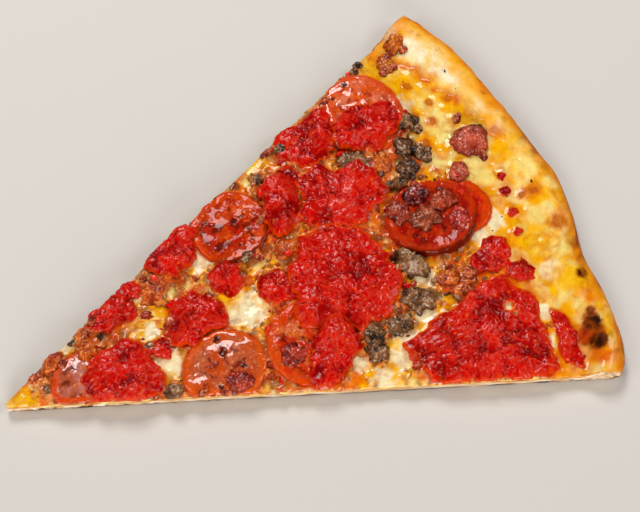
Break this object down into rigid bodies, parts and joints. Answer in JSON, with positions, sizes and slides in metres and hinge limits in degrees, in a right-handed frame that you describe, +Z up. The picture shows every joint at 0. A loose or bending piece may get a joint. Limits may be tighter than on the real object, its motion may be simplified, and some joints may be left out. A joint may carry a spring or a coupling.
{
  "type": "pizza slice",
  "caption": "Slice of thin-crust meat pizza with a raised crust, melted cheese, pepperoni, crumbled beef, sausage, bacon and thick crushed-tomato sauce.",
  "frame": {"origin": "on the flat underside, under the middle of the slice's length", "axes": "+Z up out of the topped side, +X from the tip to the crust, +Y across the slice to the left of that"},
  "size_m": [0.2305, 0.177, 0.0139],
  "materials": {
    "dough": "dry baked bread, floury and browned",
    "cheese": "melted, oily, blistered",
    "pepperoni": "oily",
    "beef": "crumbly, moist",
    "sausage": "crumbly, moist",
    "bacon": "fried",
    "crumble": "fried, oily",
    "sauce": "wet"
  },
  "bodies": {
    "root": {"bacon_crust_side": "bacon", "bacon_small": "bacon", "beef_behind": "beef", "beef_channel": "beef", "beef_crust_side": "beef", "beef_front": "beef", "beef_low_a": "beef", "beef_low_b": "beef", "beef_low_c": "beef", "beef_low_d": "beef", "beef_right": "beef", "beef_upper_a": "beef", "beef_upper_b": "beef", "beef_upper_c": "beef", "cheese": "cheese", "crumble_front": "crumble", "crumble_low": "crumble", "crumble_right_a": "crumble", "crumble_right_b": "crumble", "crumble_right_c": "crumble", "crumble_right_d": "crumble", "crumble_right_e": "crumble", "crust": "dough", "pepperoni_front": "pepperoni", "pepperoni_low": "pepperoni", "pepperoni_right": "pepperoni", "pepperoni_rim": "pepperoni", "pepperoni_tip": "pepperoni", "pepperoni_tucked": "pepperoni", "pepperoni_upper": "pepperoni", "sauce_centre": "sauce", "sauce_edge_left": "sauce", "sauce_edge_mid": "sauce", "sauce_edge_small": "sauce", "sauce_left": "sauce", "sauce_left_small": "sauce", "sauce_lobe": "sauce", "sauce_low": "sauce", "sauce_mid_small": "sauce", "sauce_right": "sauce", "sauce_rim": "sauce", "sauce_small_a": "sauce", "sauce_small_b": "sauce", "sauce_strip": "sauce", "sauce_tip": "sauce", "sauce_top_edge": "sauce", "sauce_top_left": "sauce", "sauce_top_mid": "sauce", "sausage_beside": "sausage", "sausage_centre": "sausage", "sausage_channel": "sausage", "sausage_corner_a": "sausage", "sausage_corner_b": "sausage", "sausage_edge_a": "sausage", "sausage_edge_b": "sausage", "sausage_right_a": "sausage", "sausage_right_b": "sausage", "sausage_tip_a": "sausage", "sausage_tip_b": "sausage", "sausage_tip_c": "sausage"}
  },
  "joints": []
}
